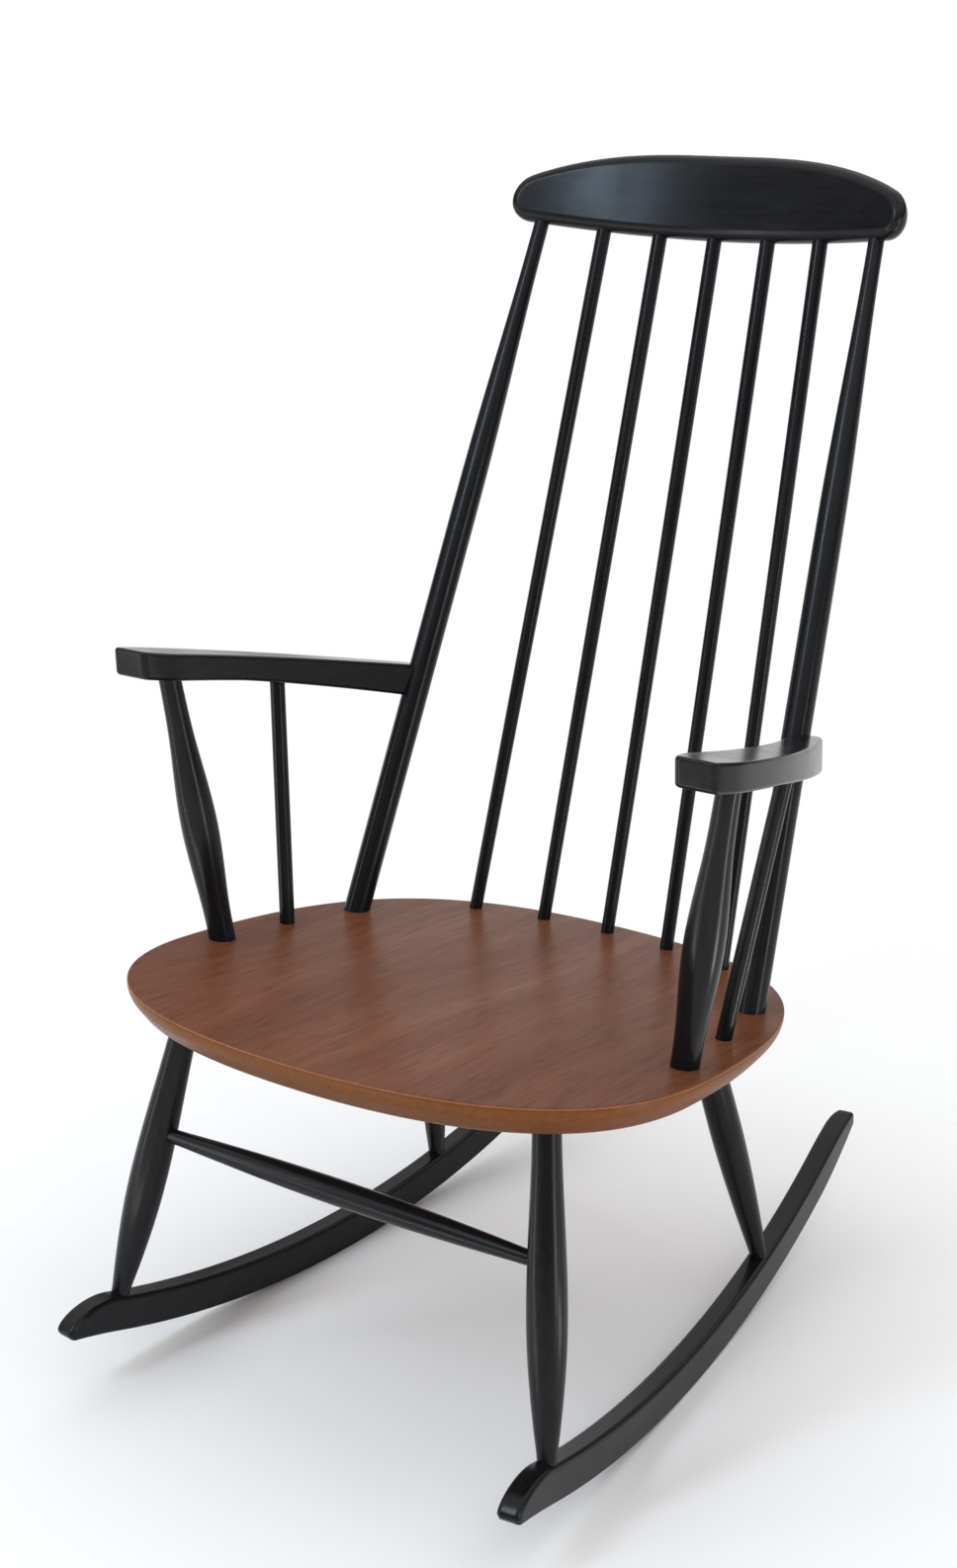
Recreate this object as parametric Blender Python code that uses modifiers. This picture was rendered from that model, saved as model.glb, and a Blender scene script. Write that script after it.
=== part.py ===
"""Teak rocking chair: a teak seat board on a turned, black-lacquered frame with two curved rockers.

Metres, +Z up. The chair faces -Y and +X is the sitter's left. The floor is z = 0, which the
rockers touch under the chair's balance point. Turned pieces end in plain round tenons that sit in blind sockets.
"""

import math

import bmesh
import bpy
from mathutils import Vector

GAP = 0.0003

SEAT_SLOPE = math.radians(7.0)
SEAT_HEIGHT = 0.3515
SEAT_HALF_WIDTH = 0.2865
SEAT_FRONT = -0.315
SEAT_BACK = 0.214
SEAT_WIDEST = -0.111
SEAT_THICK = 0.030
SEAT_FRONT_FULL = 0.185
SEAT_SHOULDER_FRONT = 0.131
SEAT_SHOULDER_BACK = 0.205
SEAT_BACK_FULL = 0.224
SEAT_UNDER_INSET = 0.017
SEAT_UNDER_RISE = 0.0205
SEAT_UNDER_SHAPE = 0.37
SEAT_TOP_ROUND = 0.0025

ROCKER_RADIUS = 0.902
ROCKER_FRONT_RADIUS = 0.950
ROCKER_WIDTH = 0.022
ROCKER_DEPTH = 0.0345
ROCKER_REAR_DEPTH = 0.0335
ROCKER_THIN_OVER = 0.2
ROCKER_X = SEAT_HALF_WIDTH - 0.0768
ROCKER_TOE = -0.103
ROCKER_TOUCH = 0.0035
ROCKER_FRONT = -0.346
ROCKER_REAR = 0.375
ROCKER_FLAT = 0.015
ROCKER_NOSE = 0.056
ROCKER_NOSE_SHAPE = 1.3
ROCKER_NOSE_DROOP = 0.005
ROCKER_TIP = 0.005
ROCKER_TIP_BACK = 0.004
ROCKER_TAIL = 0.085
ROCKER_TAIL_RISE = 0.009
ROCKER_TAIL_ROUND = 0.065
ROCKER_TAIL_END = 0.024
ROCKER_TAIL_CORNER = 0.006
ROCKER_TAIL_DROP = 0.003
ROCKER_ROUND = 0.005

FRONT_LEG_HEAD = (SEAT_HALF_WIDTH - 0.0919, -0.207)
FRONT_LEG_FOOT_Y = -0.2777
REAR_LEG_HEAD = (SEAT_HALF_WIDTH - 0.1305, 0.097)
REAR_LEG_FOOT_Y = 0.1542
LEG_HEAD_R = 0.0123
LEG_FOOT_R = 0.0083
FRONT_LEG_SWELL = 0.0072
FRONT_LEG_PEAK = 0.60
REAR_LEG_SWELL = 0.0050
REAR_LEG_PEAK = 0.50

STRETCHER_HEIGHT = 0.233
STRETCHER_END_R = 0.0068
STRETCHER_SWELL = 0.0050

BACK_TOP_Y = 0.383
BACK_TOP_Z = 0.9765
POST_FOOT = (SEAT_HALF_WIDTH - 0.0617, 0.0758)
POST_TOP = (SEAT_HALF_WIDTH - 0.1031, BACK_TOP_Y - 0.024, BACK_TOP_Z + 0.011)
POST_R = 0.01285
POST_TOP_R = 0.0073
POST_TAPER_FROM = 0.60
SPINDLE_FOOT_R = 0.0064
SPINDLE_TOP_R = 0.0073
SPINDLE_FOOT_SPACING = 0.0714
SPINDLE_TOP_SPACING = 0.0595
SPINDLE_FOOT_Y = 0.188
SPINDLE_FOOT_BOW = 0.0057

CREST_HALF = SEAT_HALF_WIDTH - 0.0735
CREST_THICK = 0.024
CREST_MID_HEIGHT = 0.0805
CREST_END_HEIGHT = 0.037
CREST_UNDER_RISE = 0.0052
CREST_BOW_RADIUS = 0.64
CREST_LEAN = math.radians(16.8)
CREST_END_ROUND = 0.0175
CREST_EDGE_ROUND = 0.006

ARM_FRONT = -0.148
ARM_REAR = 0.187
ARM_SWEEP_FROM = -0.115
ARM_OUTER_X = SEAT_HALF_WIDTH + 0.0320
ARM_OUTER_EASE = 0.0031
ARM_OUTER_TAPER = 0.0211
ARM_OUTER_SWEEP = 0.0657
ARM_INNER_X = SEAT_HALF_WIDTH - 0.0195
ARM_INNER_EASE = 0.0105
ARM_INNER_SWELL = 0.0060
ARM_INNER_SWEEP = 0.0721
ARM_HOUSING = 0.22
ARM_TOP_AT_FRONT = 0.6555
ARM_FALL = 0.254
ARM_FRONT_THICK = 0.0262
ARM_MID_THICK = 0.0245
ARM_REAR_THICK = 0.034
ARM_FRONT_CORNER = 0.005
ARM_REAR_CORNER = 0.008
ARM_REAR_SKEW = 0.018
ARM_EDGE_ROUND = 0.0035

SUPPORT_FOOT = (SEAT_HALF_WIDTH - 0.0313, -0.0909)
SUPPORT_TOP = (SEAT_HALF_WIDTH + 0.0103, -0.0961)
SUPPORT_TOP_R = 0.0104
SUPPORT_FOOT_R = 0.0126
SUPPORT_SWELL = 0.0057
SUPPORT_PEAK = 0.55
ARM_SPINDLE_FOOT = (SEAT_HALF_WIDTH - 0.0418, -0.0081)
ARM_SPINDLE_TOP = (SEAT_HALF_WIDTH - 0.0098, 0.0322)
ARM_SPINDLE_R = 0.0073

SEAT_SOCKET = 0.012
ARM_SOCKET = 0.011
CREST_SOCKET = 0.017
ROCKER_SOCKET = 0.009
LEG_SOCKET = 0.010
STRAIGHT_END = 0.005
TURN_STEPS = 20
SIDES = (("left", 1), ("right", -1))

for old in list(bpy.data.objects):
    bpy.data.objects.remove(old, do_unlink=True)

chair = bpy.data.collections.new("rocking_chair")
cutters = bpy.data.collections.new("socket_cutters")
bpy.context.scene.collection.children.link(chair)
bpy.context.scene.collection.children.link(cutters)
frame_empty = bpy.data.objects.new("chair_frame", None)
chair.objects.link(frame_empty)


def wood_material(name, colour, roughness):
    material = bpy.data.materials.new(name)
    material.use_nodes = True
    shader = material.node_tree.nodes["Principled BSDF"]
    shader.inputs["Base Color"].default_value = (*colour, 1.0)
    shader.inputs["Roughness"].default_value = roughness
    shader.inputs["Metallic"].default_value = 0.0
    return material


TEAK = wood_material("teak_seat", (0.26, 0.105, 0.05), 0.42)
BLACK = wood_material("black_lacquer", (0.012, 0.012, 0.013), 0.36)


def add_piece(name, mesh, material):
    piece = bpy.data.objects.new(name, mesh)
    mesh.materials.append(material)
    mesh.shade_smooth()
    if len(mesh.polygons) > 0:
        mesh.set_sharp_from_angle(angle=math.radians(38))
    chair.objects.link(piece)
    piece.parent = frame_empty
    return piece


def along(piece, start, direction):
    """Places a piece with its local Z along a direction, its origin at a start point."""
    piece.location = start
    piece.rotation_mode = "QUATERNION"
    piece.rotation_quaternion = Vector((0, 0, 1)).rotation_difference(direction.normalized())


def turned(name, start, end, radius_at, tenon_start, tenon_end, samples, material=BLACK):
    """A lathe-turned piece between two joint points, with a tenon past each of them.

    radius_at takes 0 at the start to 1 at the end; both ends stay straight where they enter.
    """
    axis = end - start
    length = axis.length
    outline = [(0.0, length + tenon_end)]
    outline.append((radius_at(1.0), length + tenon_end))
    for k in range(samples, -1, -1):
        t = k / samples
        outline.append((radius_at(t), STRAIGHT_END + t * (length - 2 * STRAIGHT_END)))
    outline.append((radius_at(0.0), -tenon_start))
    outline.append((0.0, -tenon_start))
    mesh = bpy.data.meshes.new(name)
    points = [(r, 0.0, z) for r, z in outline]
    mesh.from_pydata(points, [(k, k + 1) for k in range(len(points) - 1)], [])
    piece = add_piece(name, mesh, material)
    lathe = piece.modifiers.new("lathe", "SCREW")
    lathe.axis = "Z"
    lathe.steps = TURN_STEPS
    lathe.render_steps = TURN_STEPS
    lathe.use_merge_vertices = True
    lathe.merge_threshold = 0.00001
    lathe.use_smooth_shade = True
    along(piece, start, axis)
    return piece


def swelling(start_r, end_r, swell, peak, sharpness):
    """Radius that runs from one end to the other and swells to a peak between them."""
    power = math.log(0.5) / math.log(peak)

    def radius_at(t):
        rise = math.sin(math.pi * min(max(t, 0.0), 1.0) ** power)
        return start_r + (end_r - start_r) * t + swell * max(rise, 0.0) ** sharpness

    return radius_at


def socket(target, mouth, direction, radius, depth, outside=0.03):
    """Cuts a blind round hole into a piece, from its mouth along a direction."""
    direction = direction.normalized()
    mesh = bpy.data.meshes.new("socket")
    shape = bmesh.new()
    bmesh.ops.create_cone(
        shape, cap_ends=True, segments=24, radius1=radius + GAP, radius2=radius + GAP, depth=depth + GAP + outside
    )
    shape.to_mesh(mesh)
    shape.free()
    cutter = bpy.data.objects.new("socket_" + target.name, mesh)
    cutters.objects.link(cutter)
    cutter.hide_render = True
    cutter.display_type = "WIRE"
    cutter.parent = frame_empty
    along(cutter, mouth + direction * (depth + GAP - outside) / 2, direction)
    cut = target.modifiers.new("socket", "BOOLEAN")
    cut.operation = "DIFFERENCE"
    cut.solver = "EXACT"
    cut.object = cutter


def seat_point(x, y):
    """Point on the sloping seat top over a place on the floor."""
    return Vector((x, y, SEAT_HEIGHT - math.tan(SEAT_SLOPE) * y))


def under_seat_point(x, y):
    return seat_point(x, y) - Vector((0, 0, SEAT_THICK / math.cos(SEAT_SLOPE)))


def rocker_arc(y):
    """Height of the rocker's running edge, a little flatter in front of where it touches and drawn down at the nose."""
    radius = ROCKER_FRONT_RADIUS if y < ROCKER_TOUCH else ROCKER_RADIUS
    nose = max((ROCKER_FRONT - y) / ROCKER_NOSE + 1, 0.0)
    return radius - math.sqrt(radius**2 - (y - ROCKER_TOUCH) ** 2) - ROCKER_NOSE_DROOP * nose**2


def rocker_top(y):
    """Height of the rocker's upper edge: a little shallower behind where it touches, and rounded down at the tail."""
    share = min(max((y - ROCKER_TOUCH) / ROCKER_THIN_OVER, 0.0), 1.0)
    depth = ROCKER_DEPTH + (ROCKER_REAR_DEPTH - ROCKER_DEPTH) * share
    tail = max((y - ROCKER_REAR) / ROCKER_TAIL_ROUND + 1, 0.0)
    return rocker_arc(y) + depth - (depth - ROCKER_TAIL_END) * tail**2


def rocker_top_point(side, y):
    return Vector((side * (ROCKER_X + ROCKER_TOE * y), y, rocker_top(y)))


def flat_outline_mesh(name, splines, half_thickness):
    """A filled 2D outline of points or Bezier anchors, given thickness and closed into one mesh."""
    curve = bpy.data.curves.new(name, "CURVE")
    curve.dimensions = "2D"
    curve.fill_mode = "BOTH"
    curve.extrude = half_thickness
    curve.resolution_u = 14
    splines(curve)
    guide = bpy.data.objects.new(name + "_outline", curve)
    cutters.objects.link(guide)
    bpy.context.view_layer.update()
    mesh = bpy.data.meshes.new_from_object(guide.evaluated_get(bpy.context.evaluated_depsgraph_get()))
    bpy.data.objects.remove(guide, do_unlink=True)
    shape = bmesh.new()
    shape.from_mesh(mesh)
    bmesh.ops.remove_doubles(shape, verts=shape.verts[:], dist=0.00002)
    bmesh.ops.dissolve_limit(
        shape, angle_limit=math.radians(0.05), verts=shape.verts[:], edges=shape.edges[:]
    )
    bmesh.ops.recalc_face_normals(shape, faces=shape.faces[:])
    shape.to_mesh(mesh)
    shape.free()
    mesh.name = name
    mesh.materials.clear()
    return mesh


def round_rims(piece, weight_of, width, segments, profile=0.5):
    """Bevels the sharp edges of a piece, each by its share of the width."""
    shape = bmesh.new()
    shape.from_mesh(piece.data)
    weights = shape.edges.layers.float.new("bevel_weight_edge")
    for edge in shape.edges:
        if len(edge.link_faces) == 2 and edge.calc_face_angle() > math.radians(32):
            edge[weights] = weight_of(edge)
    shape.to_mesh(piece.data)
    shape.free()
    rim = piece.modifiers.new("rounded_edges", "BEVEL")
    rim.limit_method = "WEIGHT"
    rim.width = width
    rim.segments = segments
    rim.profile = profile


# Seat: one board with a rounded D outline, its underside edge eased more than its top edge.
def seat_outline(curve):
    spline = curve.splines.new("BEZIER")
    spline.bezier_points.add(3)
    spline.use_cyclic_u = True
    anchors = (
        ((0.0, SEAT_FRONT), (-SEAT_FRONT_FULL, 0.0), (SEAT_FRONT_FULL, 0.0)),
        ((SEAT_HALF_WIDTH, SEAT_WIDEST), (0.0, -SEAT_SHOULDER_FRONT), (0.0, SEAT_SHOULDER_BACK)),
        ((0.0, SEAT_BACK), (SEAT_BACK_FULL, 0.0), (-SEAT_BACK_FULL, 0.0)),
        ((-SEAT_HALF_WIDTH, SEAT_WIDEST), (0.0, SEAT_SHOULDER_BACK), (0.0, -SEAT_SHOULDER_FRONT)),
    )
    for point, (at, before, after) in zip(spline.bezier_points, anchors):
        point.handle_left_type = "FREE"
        point.handle_right_type = "FREE"
        point.co = (at[0], at[1], 0.0)
        point.handle_left = (at[0] + before[0], at[1] + before[1], 0.0)
        point.handle_right = (at[0] + after[0], at[1] + after[1], 0.0)


seat_squash = SEAT_UNDER_RISE / SEAT_UNDER_INSET
seat = add_piece("seat", flat_outline_mesh("seat", seat_outline, SEAT_THICK / 2 / seat_squash), TEAK)
seat_normal = Vector((0, math.sin(SEAT_SLOPE), math.cos(SEAT_SLOPE)))
seat.location = Vector((0, 0, SEAT_HEIGHT)) - seat_normal * SEAT_THICK / 2
seat.rotation_euler = (-SEAT_SLOPE, 0, 0)
seat.scale = (1, 1, seat_squash)
round_rims(
    seat,
    lambda edge: SEAT_TOP_ROUND / SEAT_UNDER_INSET if edge.verts[0].co.z > 0 else 1.0,
    SEAT_UNDER_INSET,
    5,
    SEAT_UNDER_SHAPE,
)


# Crest rail: a boat-shaped board, bowed round the sitter's back and leaning with the spindles.
def crest_place(u, v, w):
    """u runs along the rail, v through its thickness and w up its face, each from -1 to 1."""
    x = u * CREST_HALF
    low = CREST_UNDER_RISE * u * u
    high = low + CREST_END_HEIGHT + (CREST_MID_HEIGHT - CREST_END_HEIGHT) * (1 - abs(u) ** 2.8)
    up = low + (high - low) * (w + 1) / 2
    back = v * CREST_THICK / 2 - x * x / (2 * CREST_BOW_RADIUS)
    return Vector((x, back, up))


def cage(name, stations, place):
    """A cube cut across at stations along its length, each point then put in its place."""
    shape = bmesh.new()
    bmesh.ops.create_cube(shape, size=2.0)
    for u in stations:
        bmesh.ops.bisect_plane(
            shape,
            geom=shape.verts[:] + shape.edges[:] + shape.faces[:],
            plane_co=(u, 0, 0),
            plane_no=(1, 0, 0),
            dist=0.00001,
        )
    for vert in shape.verts:
        vert.co = place(*vert.co)
    if shape.calc_volume(signed=True) < 0:
        bmesh.ops.reverse_faces(shape, faces=shape.faces[:])
    mesh = bpy.data.meshes.new(name)
    shape.to_mesh(mesh)
    shape.free()
    return mesh


def round_corners(mesh, chosen, radius, segments):
    """Bevels the chosen edges of a mesh to a true corner radius."""
    shape = bmesh.new()
    shape.from_mesh(mesh)
    bmesh.ops.bevel(
        shape,
        geom=[edge for edge in shape.edges if chosen(edge)],
        offset=radius,
        offset_type="OFFSET",
        segments=segments,
        profile=0.5,
        affect="EDGES",
        clamp_overlap=True,
    )
    bmesh.ops.remove_doubles(shape, verts=shape.verts[:], dist=0.00005)
    shape.to_mesh(mesh)
    shape.free()


crest_mesh = cage("crest_rail", [k / 8 for k in range(-7, 8)], crest_place)
round_corners(
    crest_mesh,
    lambda edge: min(abs(v.co.x) for v in edge.verts) > CREST_HALF - 0.0001
    and abs(edge.verts[0].co.y - edge.verts[1].co.y) > CREST_THICK * 0.9,
    CREST_END_ROUND,
    5,
)
crest = add_piece("crest_rail", crest_mesh, BLACK)
crest.location = (0, BACK_TOP_Y, BACK_TOP_Z)
crest.rotation_euler = (-CREST_LEAN, 0, 0)
round_rims(crest, lambda edge: 1.0, CREST_EDGE_ROUND, 3)

# Five back spindles, spread in an even fan between the seat and the crest rail.
for number in range(1, 6):
    place = number - 3
    foot = seat_point(
        place * SPINDLE_FOOT_SPACING, SPINDLE_FOOT_Y - SPINDLE_FOOT_BOW * place * place
    )
    head_x = place * SPINDLE_TOP_SPACING
    bow = head_x * head_x / (2 * CREST_BOW_RADIUS)
    rise = CREST_UNDER_RISE * (head_x / CREST_HALF) ** 2
    head = Vector((
        head_x,
        BACK_TOP_Y - bow * math.cos(CREST_LEAN) + rise * math.sin(CREST_LEAN),
        BACK_TOP_Z + bow * math.sin(CREST_LEAN) + rise * math.cos(CREST_LEAN),
    ))
    turned(
        f"back_spindle_{number}",
        foot,
        head,
        lambda t: SPINDLE_FOOT_R + (SPINDLE_TOP_R - SPINDLE_FOOT_R) * t,
        SEAT_SOCKET,
        CREST_SOCKET,
        2,
    )
    socket(seat, foot, foot - head, SPINDLE_FOOT_R, SEAT_SOCKET)
    socket(crest, head, head - foot, SPINDLE_TOP_R, CREST_SOCKET)


# Arms: sawn boards, wide in front, thin in the middle and deep where the post passes.
def arm_shares(y):
    """How far a place is towards the arm's front end, and how far towards its rear end."""
    front = max(ARM_SWEEP_FROM - y, 0.0) / (ARM_SWEEP_FROM - ARM_FRONT)
    back = max(y - ARM_SWEEP_FROM, 0.0) / (ARM_REAR - ARM_SWEEP_FROM)
    return front, back


def arm_outer(y):
    front, back = arm_shares(y)
    return ARM_OUTER_X - ARM_OUTER_EASE * front**1.5 - ARM_OUTER_TAPER * back - ARM_OUTER_SWEEP * back**2


def arm_inner(y):
    front, back = arm_shares(y)
    return ARM_INNER_X + ARM_INNER_EASE * front**1.5 + ARM_INNER_SWELL * back - ARM_INNER_SWEEP * back**2


def arm_top(y):
    return ARM_TOP_AT_FRONT - ARM_FALL * (y - ARM_FRONT)


def arm_under(y):
    t = (y - ARM_FRONT) / (ARM_REAR - ARM_FRONT)
    if t < 0.35:
        thick = ARM_FRONT_THICK + (ARM_MID_THICK - ARM_FRONT_THICK) * t / 0.35
    else:
        thick = ARM_MID_THICK + (ARM_REAR_THICK - ARM_MID_THICK) * ((t - 0.35) / 0.65) ** 1.4
    return arm_top(y) - thick


def post_radius(t):
    ease = min(max((t - POST_TAPER_FROM) / (1 - POST_TAPER_FROM), 0.0), 1.0)
    ease = ease * ease * (3 - 2 * ease)
    return POST_R + (POST_TOP_R - POST_R) * ease


for word, side in SIDES:

    def arm_place(u, v, w, side=side):
        """u runs from front to rear, v from the inner to the outer edge and w from under to top."""
        y = ARM_FRONT + (ARM_REAR - ARM_FRONT) * (u + 1) / 2
        if u == 1:
            y -= ARM_REAR_SKEW * (1 - v) / 2
        x = arm_inner(y) + (arm_outer(y) - arm_inner(y)) * (v + 1) / 2
        return Vector((side * x, y, arm_under(y) + (arm_top(y) - arm_under(y)) * (w + 1) / 2))

    arm_mesh = cage("arm_" + word, [k / 7 for k in range(-6, 7)], arm_place)
    def upright(edge):
        return abs(edge.verts[0].co.z - edge.verts[1].co.z) > 0.015

    round_corners(
        arm_mesh,
        lambda edge: upright(edge) and max(v.co.y for v in edge.verts) < ARM_FRONT + 0.0001,
        ARM_FRONT_CORNER,
        4,
    )
    round_corners(
        arm_mesh,
        lambda edge: upright(edge)
        and min(v.co.y for v in edge.verts) > ARM_REAR - 0.0001
        and abs(edge.verts[0].co.x) > arm_outer(ARM_REAR) - 0.001,
        ARM_REAR_CORNER,
        4,
    )
    arm = add_piece("arm_" + word, arm_mesh, BLACK)
    round_rims(arm, lambda edge: 1.0, ARM_EDGE_ROUND, 2)

    # Post: the outer upright of the back, which the rear of the arm is housed round.
    foot = seat_point(side * POST_FOOT[0], POST_FOOT[1])
    head = Vector((side * POST_TOP[0], POST_TOP[1], POST_TOP[2]))
    post = turned("back_post_" + word, foot, head, post_radius, SEAT_SOCKET, CREST_SOCKET, 10)
    socket(seat, foot, foot - head, POST_R, SEAT_SOCKET)
    socket(crest, head, head - foot, POST_TOP_R, CREST_SOCKET)
    socket(arm, foot + (head - foot) * 0.25, head - foot, POST_R, ARM_HOUSING, 0.0)

    # Vase-turned support under the front of the arm.
    foot = seat_point(side * SUPPORT_FOOT[0], SUPPORT_FOOT[1])
    head = Vector((side * SUPPORT_TOP[0], SUPPORT_TOP[1], arm_under(SUPPORT_TOP[1])))
    turned(
        "arm_support_" + word,
        foot,
        head,
        swelling(SUPPORT_FOOT_R, SUPPORT_TOP_R, SUPPORT_SWELL, 1 - SUPPORT_PEAK, 3.0),
        SEAT_SOCKET,
        ARM_SOCKET,
        14,
    )
    socket(seat, foot, foot - head, SUPPORT_FOOT_R, SEAT_SOCKET)
    socket(arm, head, head - foot, SUPPORT_TOP_R, ARM_SOCKET)

    # Thin spindle under the middle of the arm.
    foot = seat_point(side * ARM_SPINDLE_FOOT[0], ARM_SPINDLE_FOOT[1])
    head = Vector((side * ARM_SPINDLE_TOP[0], ARM_SPINDLE_TOP[1], arm_under(ARM_SPINDLE_TOP[1])))
    turned("arm_spindle_" + word, foot, head, lambda t: ARM_SPINDLE_R, SEAT_SOCKET, ARM_SOCKET, 1)
    socket(seat, foot, foot - head, ARM_SPINDLE_R, SEAT_SOCKET)
    socket(arm, head, head - foot, ARM_SPINDLE_R, ARM_SOCKET)

    # Rocker: a curved bar on edge, blunt-nosed in front and drawn thin behind.
    def rocker_outline(curve):
        points = []
        low_front = ROCKER_FRONT + ROCKER_TIP_BACK
        tail = ROCKER_REAR - ROCKER_TAIL
        count = 28
        for k in range(count + 1):
            y = low_front + (ROCKER_REAR - low_front) * k / count
            if abs(y - ROCKER_TOUCH) < ROCKER_FLAT * 1.2:
                continue
            rise = ROCKER_TAIL_RISE * max((y - tail) / ROCKER_TAIL, 0.0) ** 1.6
            points.append((y, rocker_arc(y) + rise))
        points.append((ROCKER_TOUCH - ROCKER_FLAT, 0.0))
        points.append((ROCKER_TOUCH + ROCKER_FLAT, 0.0))
        points.sort()
        points.append((ROCKER_REAR, rocker_top(ROCKER_REAR) - ROCKER_TAIL_DROP))
        nose_at = ROCKER_FRONT + ROCKER_NOSE
        for k in range(32, -1, -1):
            y = nose_at + (ROCKER_REAR - ROCKER_TAIL_CORNER - nose_at) * k / 32
            points.append((y, rocker_top(y)))
        for k in range(1, 7):
            turn = math.pi / 2 * k / 6
            y = nose_at - ROCKER_NOSE * math.sin(turn) ** ROCKER_NOSE_SHAPE
            drop = max(math.cos(turn), 0.0) ** ROCKER_NOSE_SHAPE
            points.append((y, rocker_arc(y) + ROCKER_TIP + (ROCKER_DEPTH - ROCKER_TIP) * drop))
        spline = curve.splines.new("POLY")
        spline.points.add(len(points) - 1)
        spline.use_cyclic_u = True
        for point, (y, z) in zip(spline.points, points):
            point.co = (y * math.hypot(1, ROCKER_TOE), z, 0, 1)

    rocker = add_piece(
        "rocker_" + word, flat_outline_mesh("rocker_" + word, rocker_outline, ROCKER_WIDTH / 2), BLACK
    )
    rocker.location = (side * ROCKER_X, 0, 0)
    rocker.rotation_euler = (math.pi / 2, 0, math.pi / 2 - side * math.atan(ROCKER_TOE))
    round_rims(
        rocker,
        lambda edge: 1.0 if sum(v.co.y - rocker_arc(v.co.x) for v in edge.verts) > ROCKER_DEPTH else 0.4,
        ROCKER_ROUND,
        3,
    )

    # Legs: splayed, turned with a swelling, from under the seat to the top of the rocker.
    head = under_seat_point(side * FRONT_LEG_HEAD[0], FRONT_LEG_HEAD[1])
    foot = rocker_top_point(side, FRONT_LEG_FOOT_Y)
    front_leg = turned(
        "front_leg_" + word,
        head,
        foot,
        swelling(LEG_HEAD_R, LEG_FOOT_R, FRONT_LEG_SWELL, FRONT_LEG_PEAK, 1.1),
        SEAT_SOCKET,
        ROCKER_SOCKET,
        12,
    )
    socket(seat, head, head - foot, LEG_HEAD_R, SEAT_SOCKET)
    socket(rocker, foot, foot - head, LEG_FOOT_R, ROCKER_SOCKET)

    share = (head.z - STRETCHER_HEIGHT) / (head.z - foot.z)
    joint = head + (foot - head) * share
    leg_r = swelling(LEG_HEAD_R, LEG_FOOT_R, FRONT_LEG_SWELL, FRONT_LEG_PEAK, 1.1)(share)
    inward = Vector((-side, 0, 0))
    mouth = joint + inward * leg_r
    socket(front_leg, mouth, -inward, STRETCHER_END_R, LEG_SOCKET)

    head = under_seat_point(side * REAR_LEG_HEAD[0], REAR_LEG_HEAD[1])
    foot = rocker_top_point(side, REAR_LEG_FOOT_Y)
    turned(
        "rear_leg_" + word,
        head,
        foot,
        swelling(LEG_HEAD_R, LEG_FOOT_R, REAR_LEG_SWELL, REAR_LEG_PEAK, 1.1),
        SEAT_SOCKET,
        ROCKER_SOCKET,
        12,
    )
    socket(seat, head, head - foot, LEG_HEAD_R, SEAT_SOCKET)
    socket(rocker, foot, foot - head, LEG_FOOT_R, ROCKER_SOCKET)

# Front stretcher: a double-tapered rung between the front legs.
turned(
    "front_stretcher",
    Vector((-mouth.x, mouth.y, mouth.z)) if mouth.x > 0 else mouth.copy(),
    Vector((abs(mouth.x), mouth.y, mouth.z)),
    swelling(STRETCHER_END_R, STRETCHER_END_R, STRETCHER_SWELL, 0.5, 1.0),
    LEG_SOCKET,
    LEG_SOCKET,
    10,
)

# The origin sits on the floor under the middle of the chair, so the whole frame moves to it.
bpy.context.view_layer.update()
solid_view = bpy.context.evaluated_depsgraph_get()
reach = []
for piece in chair.objects:
    if piece.type == "MESH":
        shown = piece.evaluated_get(solid_view)
        reach.extend((shown.matrix_world @ vert.co).y for vert in shown.data.vertices)
frame_empty.location = (0, -(min(reach) + max(reach)) / 2, 0)
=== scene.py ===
"""Rocking chair with a teak board seat on a turned, black-lacquered frame.

Metres, +Z up, the chair faces -Y and +X is the sitter's left.
Pieces come in the order they are put together.
"""

import math

import bmesh
import bpy
from mathutils import Matrix, Vector


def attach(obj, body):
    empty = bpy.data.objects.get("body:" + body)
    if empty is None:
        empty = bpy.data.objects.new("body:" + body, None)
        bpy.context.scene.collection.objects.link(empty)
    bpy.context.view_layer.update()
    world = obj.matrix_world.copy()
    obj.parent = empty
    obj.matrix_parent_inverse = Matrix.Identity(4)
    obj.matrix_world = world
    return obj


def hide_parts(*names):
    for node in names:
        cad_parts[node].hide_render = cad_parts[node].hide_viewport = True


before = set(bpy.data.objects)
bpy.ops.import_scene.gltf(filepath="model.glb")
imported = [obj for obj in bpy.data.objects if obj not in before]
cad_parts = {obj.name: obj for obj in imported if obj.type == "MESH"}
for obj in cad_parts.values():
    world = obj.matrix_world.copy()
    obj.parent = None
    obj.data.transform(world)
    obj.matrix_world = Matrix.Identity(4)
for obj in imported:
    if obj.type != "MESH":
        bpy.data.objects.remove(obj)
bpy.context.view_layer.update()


# Rockers: two curved hardwood bars on edge, sawn to a long arc and set a little closer behind than in front.
# The nose is rounded down to the running edge, the tail rounded off, and the upper edges rounded over.
# Black satin lacquer. The four legs are glued into holes in their tops.
rocker_x = 0.2097
rocker_middle_y = -0.0347
rocker_toe = math.atan(-0.103)
rocker_front = -0.346
rocker_touch = 0.0035
rocker_rear = 0.375
rocker_front_radius = 0.950
rocker_rear_radius = 0.902
rocker_width = 0.022
rocker_depth = 0.0345
rocker_rear_depth = 0.0335
rocker_slim_over = 0.2
rocker_nose = 0.056
nose_start = rocker_front + rocker_nose
nose_droop = 0.005
nose_fullness = 1.3
tip_height = 0.005
tip_setback = 0.003
tail_depth = 0.024
tail_round = 0.065
tail_lift = 0.009
tail_lift_over = 0.085
tail_lift_power = 1.6
tail_ease = 0.003
tail_corner_length = 0.026
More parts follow.
